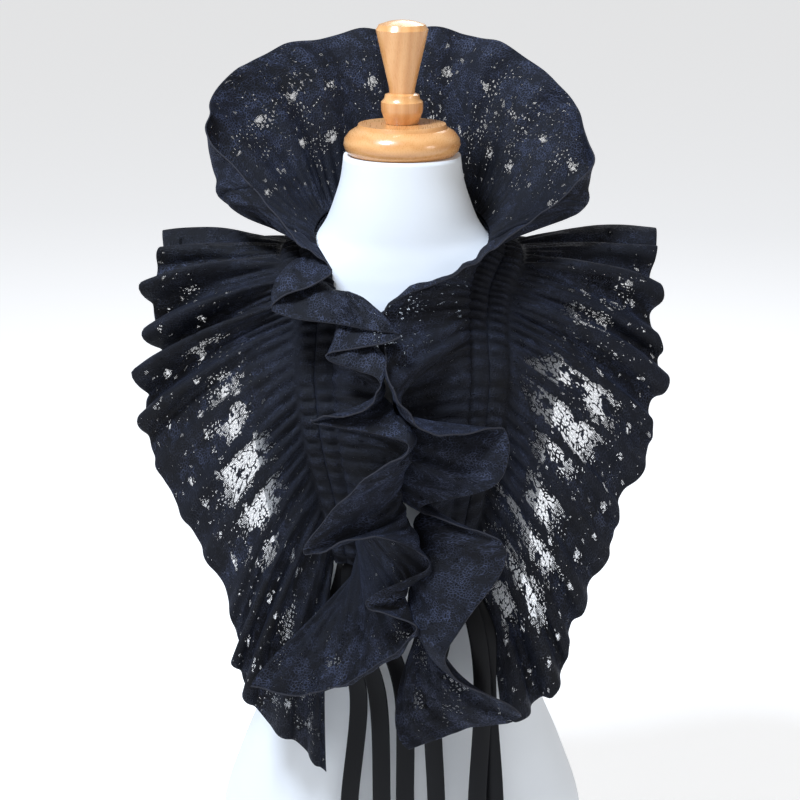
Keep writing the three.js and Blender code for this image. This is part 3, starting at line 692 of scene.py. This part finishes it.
def casing(name, first, last, seed, finish):
    """The shirred band, with the solid's gathers and a drawn thread between its channels."""
    steps = int(round(GATHERS * (last - first))) * CASING_STEPS
    at = np.linspace(first, last, steps + 1)
    across = np.linspace(0, 1, CASING_ACROSS + 1)
    grid = np.stack([on_casing(at, share) for share in across], axis=1)
    phase = np.cos(np.pi * GATHERS * (at - first))[:, None]
    channel = np.abs(np.sin(np.pi * CASING_PUFFS * across))[None, :] ** 0.7
    uneven = 1 + 0.35 * np.sin(37 * at + seed)[:, None] * np.sin(7 * across + seed)[None, :]
    height = -GATHER_HEIGHT * phase * (0.35 + 0.75 * channel) * uneven + 0.5 * (channel - 0.6)
    fine = 0.35 * np.sin(2 * np.pi * GATHERS * 1.7 * at + 3 * seed)[:, None] * channel
    grid = grid + normals(grid) * (height + fine)[..., None]
    step_u = np.linalg.norm(np.diff(grid[:, CASING_ACROSS // 2], axis=0), axis=-1)
    along = np.concatenate([[0], np.cumsum(step_u)])
    flat_u = np.repeat(along[:, None], len(across), axis=1) * CASING_FULLNESS
    flat_u = flat_u + PATTERN_SHIFT * seed
    step_v = np.linalg.norm(np.diff(grid, axis=1), axis=-1)
    down = np.concatenate([np.zeros((len(at), 1)), np.cumsum(step_v, axis=1)], axis=1)
    sewn = np.full(grid.shape[:2], SHIRRED)
    piece = cloth(name, grid, flat_u, down * CASING_RELIEF, sewn, LACE_SHEET, finish)
    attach(piece, BODY)
    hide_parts(name.lower())


def ribbon(name, side, channel, falls, end_z, proud, finish):
    """A satin tie end that leaves its channel and falls down the front."""
    end = np.array([float(side)])
    along = unit(on_casing(end, channel) - on_casing(end * 0.98, channel))[0]
    outwards = unit(on_casing(end, channel, CASING_LIFT + 1) - on_casing(end, channel))[0]
    across_casing = unit(on_casing(end, min(channel + 0.05, 1)) - on_casing(end, channel - 0.05))[0]
    if across_casing[0] < 0:
        across_casing = -across_casing
    start = on_casing(end, channel, CASING_LIFT - GATHER_HEIGHT)[0] + along * 1.5 * SEAM_GAP
    points = [start, start + along * RIBBON_CLEARS + outwards * (GATHER_HEIGHT + proud)]
    for x, (z, y) in zip(falls, RIBBON_FALL):
        points.append(np.array([x, y - proud, z]))
    points.append(np.array([falls[-1], RIBBON_FALL[-1][1] - 2 - proud, end_z]))
    points = np.array(points)
    share = np.linspace(0, 1, RIBBON_STEPS + 1)
    middle = np.stack([column_at(points[:, k], share * (len(points) - 1)) for k in range(3)], -1)
    spread = np.clip(share / RIBBON_SPREAD, 0, 1)[:, None]
    width = mix(RIBBON_EXIT_WIDTH, RIBBON_WIDTH, spread)
    across = unit(mix(across_casing, np.array([1.0, 0, 0]), spread))
    place = np.linspace(-0.5, 0.5, 11)
    tangent = unit(np.gradient(middle, axis=0))
    out = unit(np.cross(across, tangent))
    phase = 1.7 * channel + 0.9 * side + proud
    twist = RIBBON_TWIST * np.sin(5.5 * share + phase * 2) * np.clip(share * 2, 0, 1)
    turned = across * np.cos(twist)[:, None] + out * np.sin(twist)[:, None]
    up = -across * np.sin(twist)[:, None] + out * np.cos(twist)[:, None]
    rise = RIBBON_CUP * np.sin(3.2 * share + phase)[:, None] * np.clip(share * 3, 0, 1)[:, None]
    cup = rise * (1 - 4 * place**2)[None, :]
    spread_out = turned[:, None] * (place[None, :, None] * width[:, None])
    grid = middle[:, None] + spread_out + up[:, None] * cup[..., None]
    grid[-1, :, 2] += RIBBON_SLANT * place * side
    step_u = np.linalg.norm(np.diff(middle, axis=0), axis=-1)
    flat_u = np.repeat(np.concatenate([[0], np.cumsum(step_u)])[:, None], len(place), axis=1)
    flat_v = np.broadcast_to((place + 0.5) * RIBBON_WIDTH, grid.shape[:2])
    closed = np.zeros(grid.shape[:2])
    piece = cloth(name.capitalize(), grid, flat_u, flat_v, closed, SATIN_SHEET, finish)
    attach(piece, BODY)
    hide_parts(name)


# ---- The form, its cap and finial ----
def dress_form(finish):
    """The torso's smooth skin from the flat foot to the neck's top."""
    heights = np.concatenate([np.linspace(0, 600, 76), np.linspace(606, FORM["z"][-1], 44)])
    turns = np.linspace(0, 2 * np.pi, FORM_TURNS + 1)[:-1]
    rings = []
    for z in heights:
        level = np.full(len(turns), z)
        radius = form_radius(turns, level)
        rings.append(np.stack([radius * np.cos(turns), radius * np.sin(turns), level], -1))
    points = np.stack(rings)
    n, m = points.shape[:2]
    vertices = list(points.reshape(-1, 3) * MM)
    faces = [
        (i * m + j, i * m + (j + 1) % m, (i + 1) * m + (j + 1) % m, (i + 1) * m + j)
        for i in range(n - 1)
        for j in range(m)
    ]
    faces.append(tuple(reversed(range(m))))
    faces.append(tuple((n - 1) * m + j for j in range(m)))
    piece = new_mesh_object("Dress_form", vertices, faces)
    piece.data.shade_smooth()
    for flat_end in piece.data.polygons[-2:]:
        flat_end.use_smooth = False
    piece.data.materials.append(finish)
    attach(piece, BODY)
    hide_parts("dress_form")


def turned_wood(name, profile, crown, finish):
    """A piece turned on a lathe: a disc drawn up ring by ring through its profile."""
    low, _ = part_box(name.lower())
    base = low[2]
    bpy.ops.object.select_all(action="DESELECT")
    radius, height = profile[0]
    bpy.ops.mesh.primitive_circle_add(
        vertices=WOOD_TURNS,
        radius=radius * MM,
        fill_type="NGON",
        location=(0, 0, base + height * MM),
    )
    piece = bpy.context.active_object
    piece.name = piece.data.name = name
    bpy.ops.object.transform_apply(location=True, rotation=False, scale=False)
    bpy.ops.object.mode_set(mode="EDIT")
    bpy.ops.mesh.select_all(action="SELECT")
    for next_radius, next_height in profile[1:]:
        rise = (0, 0, (next_height - height) * MM)
        bpy.ops.mesh.extrude_region_move(TRANSFORM_OT_translate={"value": rise})
        share = next_radius / radius
        middle = (0, 0, base + next_height * MM)
        bpy.ops.transform.resize(value=(share, share, 1), center_override=middle)
        radius, height = next_radius, next_height
    if crown:
        for share in CROWN_SHARES:
            bpy.ops.mesh.extrude_region_move(TRANSFORM_OT_translate={"value": (0, 0, 0)})
            bpy.ops.transform.resize(value=(share, share, 1), center_override=(0, 0, base))
            bpy.ops.transform.translate(value=(0, 0, (crown - height) * MM * CROWN_STEP))
    bpy.ops.mesh.select_all(action="SELECT")
    bpy.ops.mesh.normals_make_consistent(inside=False)
    bpy.ops.object.mode_set(mode="OBJECT")
    bpy.ops.object.shade_smooth_by_angle(angle=math.radians(40))
    piece.data.materials.append(finish)
    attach(piece, BODY)
    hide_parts(name.lower())


# ---- Finishes ----
class Nodes:
    """Short calls for a material's nodes."""

    def __init__(self, name):
        self.material = bpy.data.materials.new(name)
        self.material.use_nodes = True
        self.tree = self.material.node_tree
        self.shader = self.tree.nodes["Principled BSDF"]

    def add(self, kind, **settings):
        node = self.tree.nodes.new(kind)
        for key, value in settings.items():
            setattr(node, key, value)
        return node

    def join(self, source, socket):
        if hasattr(source, "outputs"):
            source = source.outputs[0]
        if hasattr(source, "is_output"):
            self.tree.links.new(source, socket)
        else:
            socket.default_value = source

    def math(self, operation, *values):
        node = self.add("ShaderNodeMath", operation=operation)
        for value, socket in zip(values, node.inputs):
            self.join(value, socket)
        return node.outputs[0]

    def plus(self, a, b):
        return self.math("ADD", a, b)

    def minus(self, a, b):
        return self.math("SUBTRACT", a, b)

    def times(self, a, b):
        return self.math("MULTIPLY", a, b)

    def larger(self, a, b):
        return self.math("MAXIMUM", a, b)

    def apart(self, a, b):
        """How far two values are from each other."""
        return self.math("ABSOLUTE", self.minus(a, b))

    def mixed(self, share, a, b):
        """A colour between two, of which the first comes from a node."""
        node = self.add("ShaderNodeMix", data_type="RGBA", blend_type="MIX")
        self.join(share, node.inputs[0])
        self.join(a, node.inputs[6])
        node.inputs[7].default_value = (*b, 1)
        return node.outputs[2]

    def ramp(self, value, *stops):
        """A colour that changes with a value. Its stops are (place, colour)."""
        node = self.add("ShaderNodeValToRGB")
        self.join(value, node.inputs[0])
        elements = node.color_ramp.elements
        while len(elements) < len(stops):
            elements.new(0.5)
        for element, (place, colour) in zip(elements, stops):
            element.position = place
            element.color = (*colour, 1)
        return node.outputs[0]

    def span(self, value, low, high, to_low=0.0, to_high=1.0):
        node = self.add("ShaderNodeMapRange", interpolation_type="SMOOTHSTEP")
        for source, socket in zip((value, low, high, to_low, to_high), node.inputs):
            self.join(source, socket)
        return node.outputs[0]

    def noise(self, where, scale, detail=2.0, roughness=0.5, output=0):
        node = self.add("ShaderNodeTexNoise")
        self.join(where, node.inputs["Vector"])
        node.inputs["Scale"].default_value = scale
        node.inputs["Detail"].default_value = detail
        node.inputs["Roughness"].default_value = roughness
        return node.outputs[output]

    def voronoi(self, where, scale, feature="F1", randomness=1.0):
        node = self.add("ShaderNodeTexVoronoi", feature=feature, voronoi_dimensions="2D")
        self.join(where, node.inputs["Vector"])
        node.inputs["Scale"].default_value = scale
        node.inputs["Randomness"].default_value = randomness
        return node

    def edges(self, where, cell, randomness):
        """How far each point lies from the border of its cell."""
        node = self.voronoi(where, 1 / cell, "DISTANCE_TO_EDGE", randomness)
        return node.outputs["Distance"]

    def scaled(self, where, scale, shift=(0, 0, 0)):
        node = self.add("ShaderNodeMapping")
        self.join(where, node.inputs["Vector"])
        node.inputs["Location"].default_value = shift
        node.inputs["Scale"].default_value = scale
        return node.outputs[0]

    def parts(self, vector):
        node = self.add("ShaderNodeSeparateXYZ")
        self.join(vector, node.inputs[0])
        return node.outputs

    def attribute(self, name):
        return self.add("ShaderNodeAttribute", attribute_name=name).outputs["Fac"]

    def bump(self, height, strength, distance):
        node = self.add("ShaderNodeBump")
        node.inputs["Strength"].default_value = strength
        node.inputs["Distance"].default_value = distance
        self.join(height, node.inputs["Height"])
        self.tree.links.new(node.outputs[0], self.shader.inputs["Normal"])

    def set(self, **values):
        for key, value in values.items():
            self.join(value, self.shader.inputs[key.replace("_", " ")])


def flat_place(nodes):
    return nodes.add("ShaderNodeUVMap", uv_map="flat").outputs[0]


def petals(nodes, flat, cell, size, count, depth):
    """Flowers, one to a cell, with count petals: how far out each point is, in petal lengths."""
    cells = nodes.voronoi(flat, 1 / cell, randomness=0.72)
    local = nodes.add("ShaderNodeVectorMath", operation="SUBTRACT")
    nodes.join(flat, local.inputs[0])
    nodes.join(cells.outputs["Position"], local.inputs[1])
    x, y, _ = nodes.parts(local)
    away = nodes.math("SQRT", nodes.plus(nodes.times(x, x), nodes.times(y, y)))
    own = nodes.add("ShaderNodeSeparateColor")
    nodes.join(cells.outputs["Color"], own.inputs[0])
    turn = nodes.plus(nodes.math("ARCTAN2", y, x), nodes.times(own.outputs[0], 6.28))
    wave = nodes.math("ABSOLUTE", nodes.math("COSINE", nodes.times(turn, count / 2)))
    grown = nodes.times(nodes.plus(nodes.times(own.outputs[1], 0.35), 0.8), size)
    reach = nodes.times(nodes.plus(nodes.times(wave, depth), 1 - depth), grown)
    return nodes.math("DIVIDE", away, reach)


def lace_finish():
    """Blue-black lace: a net with flowers and leaves worked in it, open where it lies single."""
    nodes = Nodes("Lace")
    flat = flat_place(nodes)
    # crown is the painted light and shade that each ruffle carries.
    sheer, crown = nodes.attribute("sheer"), nodes.attribute("crown")
    patches = nodes.span(nodes.noise(flat, 26), 0.3, 0.62, 0.35, 1.25)
    open_share = nodes.times(sheer, patches)

    # The ground: a fine and a wide net, with tulle behind them.
    net, wide_net = nodes.edges(flat, NET_CELL, 0.9), nodes.edges(flat, WIDE_NET_CELL, 0.95)
    half = nodes.span(open_share, 0, 0.8, 0.44, 0.12)
    thread = nodes.span(nodes.minus(net, half), 0, 0.07, 1, 0)
    wide_half = nodes.span(open_share, 0.45, 1, 0.4, 0.07)
    wide_thread = nodes.span(nodes.minus(wide_net, wide_half), 0, 0.05, 1, 0)
    ground = nodes.times(thread, nodes.plus(nodes.times(wide_thread, 0.8), 0.2))
    tulle = nodes.span(nodes.edges(flat, TULLE_CELL, 0.35), 0.1, 0.2, 1, 0)
    ground = nodes.larger(ground, nodes.times(tulle, nodes.span(sheer, 0.97, 1, 1, 0.35)))

    # The worked flowers and leaves, drawn a little out of shape.
    pull = nodes.add("ShaderNodeVectorMath", operation="MULTIPLY_ADD")
    nodes.join(nodes.noise(flat, 90, output="Color"), pull.inputs[0])
    pull.inputs[1].default_value = (MOTIF_PULL, MOTIF_PULL, 0)
    nodes.join(flat, pull.inputs[2])
    flower = petals(nodes, pull, FLOWER_CELL, FLOWER_REACH, 5, 0.45)
    leaf = petals(nodes, pull, LEAF_CELL, LEAF_REACH, 2, 0.66)
    thinned = nodes.span(open_share, 0.6, 1.1, 0, 0.5)
    worked = nodes.larger(
        nodes.span(nodes.plus(flower, thinned), 0.92, 1, 1, 0),
        nodes.span(nodes.plus(leaf, thinned), 0.9, 1, 1, 0),
    )
    dense = nodes.span(sheer, -0.5, -0.05, 1, 0)
    cover = nodes.larger(nodes.larger(ground, worked), dense)

    # The raised thread: outlines, veins and close stitches.
    outline = nodes.larger(
        nodes.span(nodes.apart(flower, 0.84), 0.02, 0.16, 1, 0),
        nodes.span(nodes.apart(leaf, 0.78), 0.03, 0.2, 1, 0),
    )
    vein = nodes.span(nodes.apart(flower, 0.45), 0.02, 0.14, 0.8, 0)
    outline = nodes.larger(outline, vein)
    stitches = nodes.span(nodes.edges(pull, STITCH_CELL, 0.95), 0.04, 0.28, 1, 0)
    thick = nodes.span(nodes.noise(flat, 55, 3, 0.6), 0.35, 0.65)
    relief = nodes.plus(nodes.times(outline, 0.28), nodes.times(stitches, 0.52))
    relief = nodes.times(relief, nodes.plus(nodes.times(thick, 0.75), 0.35))
    relief = nodes.plus(relief, nodes.times(worked, 0.08))

    cloud = nodes.noise(flat, 9, 3)
    tone = nodes.ramp(cloud, (0.3, (0.0035, 0.0033, 0.0040)), (0.7, (0.0045, 0.0055, 0.0100)))
    # Painted shade in the gathers and hollows, and painted light on crowns, scale the painted
    # highlight.
    painted_shade = nodes.minus(1, nodes.times(dense, 0.35))
    painted_shade = nodes.times(painted_shade, nodes.span(crown, 0, 1, 0.22, 1))
    painted_highlight = nodes.times(nodes.span(relief, 0.1, 0.95), painted_shade)
    # Painted highlight: the raised thread is painted lighter and bluer where the painted light
    # falls.
    with_painted_highlight = nodes.mixed(painted_highlight, tone, (0.036, 0.044, 0.078))
    hemmed = nodes.mixed(nodes.span(sheer, -0.98, -0.8, 1, 0), with_painted_highlight, (0.024, 0.024, 0.030))
    nodes.set(
        Base_Color=hemmed,
        Roughness=nodes.span(relief, 0.1, 0.9, 0.75, 0.5),
        Alpha=cover,
        Sheen_Weight=0.05,
        Sheen_Roughness=0.4,
        Sheen_Tint=(0.25, 0.33, 0.62, 1),
        Specular_IOR_Level=0.18,
    )
    nodes.bump(relief, 0.8, 0.0008)
    return nodes.material


def satin_finish():
    """Black satin: fine warp lines along the ribbon and a woven edge."""
    nodes = Nodes("Satin")
    flat = flat_place(nodes)
    warp = nodes.noise(nodes.scaled(flat, (40, 2600, 1)), 1, 1)
    from_middle = nodes.apart(nodes.parts(flat)[1], RIBBON_WIDTH / 2 * MM)
    selvedge = nodes.span(from_middle, 0.0074, 0.0082)
    woven = nodes.plus(nodes.times(warp, 0.8), nodes.times(selvedge, 0.3))
    tone = nodes.ramp(woven, (0.2, (0.0022, 0.0022, 0.0026)), (0.8, (0.0065, 0.0065, 0.0078)))
    roughness = nodes.span(warp, 0.3, 0.7, 0.3, 0.45)
    nodes.set(Base_Color=tone, Roughness=roughness, Specular_IOR_Level=0.14)
    nodes.bump(nodes.plus(warp, selvedge), 0.25, 0.0003)
    return nodes.material


def jersey_finish():
    """White jersey drawn tight: fine knitted ribs and a faintly uneven tone."""
    nodes = Nodes("Jersey")
    place = nodes.add("ShaderNodeTexCoord").outputs["Object"]
    x, y, z = nodes.parts(place)
    turn = nodes.math("ARCTAN2", y, x)
    rib = nodes.math("ABSOLUTE", nodes.math("SINE", nodes.times(turn, 420)))
    course = nodes.math("ABSOLUTE", nodes.math("SINE", nodes.times(z, 3300)))
    knit = nodes.times(rib, course)
    worn = nodes.plus(nodes.times(nodes.noise(place, 9, 3), 0.7), nodes.times(knit, 0.25))
    tone = nodes.ramp(worn, (0.15, (0.70, 0.715, 0.725)), (0.75, (0.79, 0.80, 0.805)))
    nodes.set(Base_Color=tone, Roughness=0.82, Sheen_Weight=0.15)
    nodes.bump(knit, 0.12, 0.0003)
    return nodes.material


def wood_finish(name, across):
    """Lacquered honey-coloured wood, its growth rings and grain across the piece or along it."""
    nodes = Nodes(name)
    place = nodes.add("ShaderNodeTexCoord").outputs["Object"]
    drawn_out = (1, 0.2, 1) if across else (1, 1, 0.16)
    rings = nodes.add("ShaderNodeTexWave", wave_type="RINGS")
    rings.rings_direction = "Y" if across else "Z"
    nodes.join(nodes.scaled(place, drawn_out, (0.055, 0.03, 0)), rings.inputs["Vector"])
    rings.inputs["Scale"].default_value = 30
    rings.inputs["Distortion"].default_value = 5
    rings.inputs["Detail"].default_value = 2
    rings.inputs["Detail Scale"].default_value = 1.3
    streaks = nodes.scaled(place, (620, 26, 620) if across else (620, 620, 26))
    pores = nodes.noise(streaks, 1, 3, 0.6)
    grain = nodes.plus(nodes.times(rings.outputs["Fac"], 0.62), nodes.times(pores, 0.38))
    tones = ((0, (0.60, 0.27, 0.085)), (0.5, (0.68, 0.335, 0.12)), (1, (0.74, 0.39, 0.155)))
    nodes.set(
        Base_Color=nodes.ramp(grain, *tones),
        Roughness=nodes.span(pores, 0.3, 0.7, 0.24, 0.36),
        Coat_Weight=0.5,
        Coat_Roughness=0.15,
    )
    nodes.bump(pores, 0.08, 0.0004)
    return nodes.material


# ---- Floor, light and camera ----
def floor():
    bpy.ops.object.select_all(action="DESELECT")
    bpy.ops.mesh.primitive_plane_add(size=120, location=(0, 0, FLOOR_LEVEL * MM))
    ground = bpy.context.active_object
    ground.name = "Floor"
    pale = Nodes("Pale_floor")
    pale.set(Base_Color=(0.9, 0.9, 0.9, 1), Roughness=0.9)
    pale.set(Emission_Color=(1, 1, 1, 1), Emission_Strength=0.48)
    ground.data.materials.append(pale.material)


def soft_light(name, place, target, size, power, tint=(1, 1, 1)):
    lamp = bpy.data.lights.new(name, "AREA")
    lamp.shape = "DISK"
    lamp.size = size
    lamp.energy = power
    lamp.color = tint
    thing = bpy.data.objects.new(name, lamp)
    bpy.context.scene.collection.objects.link(thing)
    thing.location = place
    thing.rotation_euler = (Vector(target) - Vector(place)).to_track_quat("-Z", "Y").to_euler()


def studio():
    world = bpy.data.worlds.new("Studio")
    bpy.context.scene.world = world
    world.use_nodes = True
    sky = world.node_tree.nodes["Background"]
    sky.inputs["Color"].default_value = (0.97, 0.98, 1.0, 1)
    sky.inputs["Strength"].default_value = 0.32
    soft_light("Sky_light", (-0.9, -0.8, 2.6), (0, 0, 0.55), 0.7, 88, (0.72, 0.83, 1.0))
    soft_light("Side_light", (2.0, -1.2, 1.6), (0, 0, 0.55), 0.8, 9)
    soft_light("Back_light", (0.3, 2.4, 2.2), (0, 0, 0.6), 1.2, 12)
    bpy.context.scene.view_settings.view_transform = "Standard"
    bpy.context.scene.cycles.transparent_max_bounces = 32


def between_seams(seams, k):
    """First and last row of the piece after seam k. The strip's two ends have no seam."""
    first = seams[k] + (SCENE_SEAM if k else 0)
    last = seams[k + 1] - (SCENE_SEAM if k + 2 < len(seams) else 0)
    return first, last


def build():
    lace, satin, jersey = lace_finish(), satin_finish(), jersey_finish()
    dress_form(jersey)
    turned_wood("Neck_cap", CAP_PROFILE, 0, wood_finish("Cap_wood", True))
    turned_wood("Finial", FINIAL_PROFILE, FINIAL_CROWN, wood_finish("Finial_wood", False))
    casing("Casing_left", -1, -SIDE_SEAM - CASING_SEAM, 1, lace)
    casing("Casing_back", -SIDE_SEAM + CASING_SEAM, SIDE_SEAM - CASING_SEAM, 2, lace)
    casing("Casing_right", SIDE_SEAM + CASING_SEAM, 1, 3, lace)
    last_outer, last_inner = len(OUTER_RIDGES["at"]) - 1, len(INNER_TURNS["at"]) - 1
    seams = (0, LEFT_SHOULDER_ROW, RIGHT_SHOULDER_ROW, last_outer)
    names = ("Wing_left", "Back_cape", "Wing_right")
    windows = (WING_WINDOWS, CAPE_WINDOWS, WING_WINDOWS)
    for k, name in enumerate(names):
        first, last = between_seams(seams, k)
        ruffle(name, OUTER_HALF, OUTER, windows[k], first, last, OUTER_STEPS, lace)
    seams = (0, LEFT_JABOT_ROW, RIGHT_JABOT_ROW, last_inner)
    names = ("Jabot_left", "Collar", "Jabot_right")
    divisions = (JABOT, COLLAR, JABOT)
    windows = (JABOT_WINDOWS, COLLAR_WINDOWS, JABOT_WINDOWS)
    steps = (JABOT_STEPS, COLLAR_STEPS, JABOT_STEPS)
    for k, name in enumerate(names):
        first, last = between_seams(seams, k)
        ruffle(name, INNER_HALF, divisions[k], windows[k], first, last, steps[k], lace)
    for name, side, channel, falls, end_z, proud in RIBBONS:
        ribbon(name, side, channel, falls, end_z, proud, satin)


def camera():
    view = bpy.data.cameras.new("Camera")
    view.lens, view.sensor_width = 103.5, 36
    thing = bpy.data.objects.new("Camera", view)
    bpy.context.scene.collection.objects.link(thing)
    thing.location = (-0.002, -2.2216, 1.1353)
    thing.rotation_euler = (math.radians(75), 0, 0)
    bpy.context.scene.camera = thing


camera()
floor()
studio()
build()
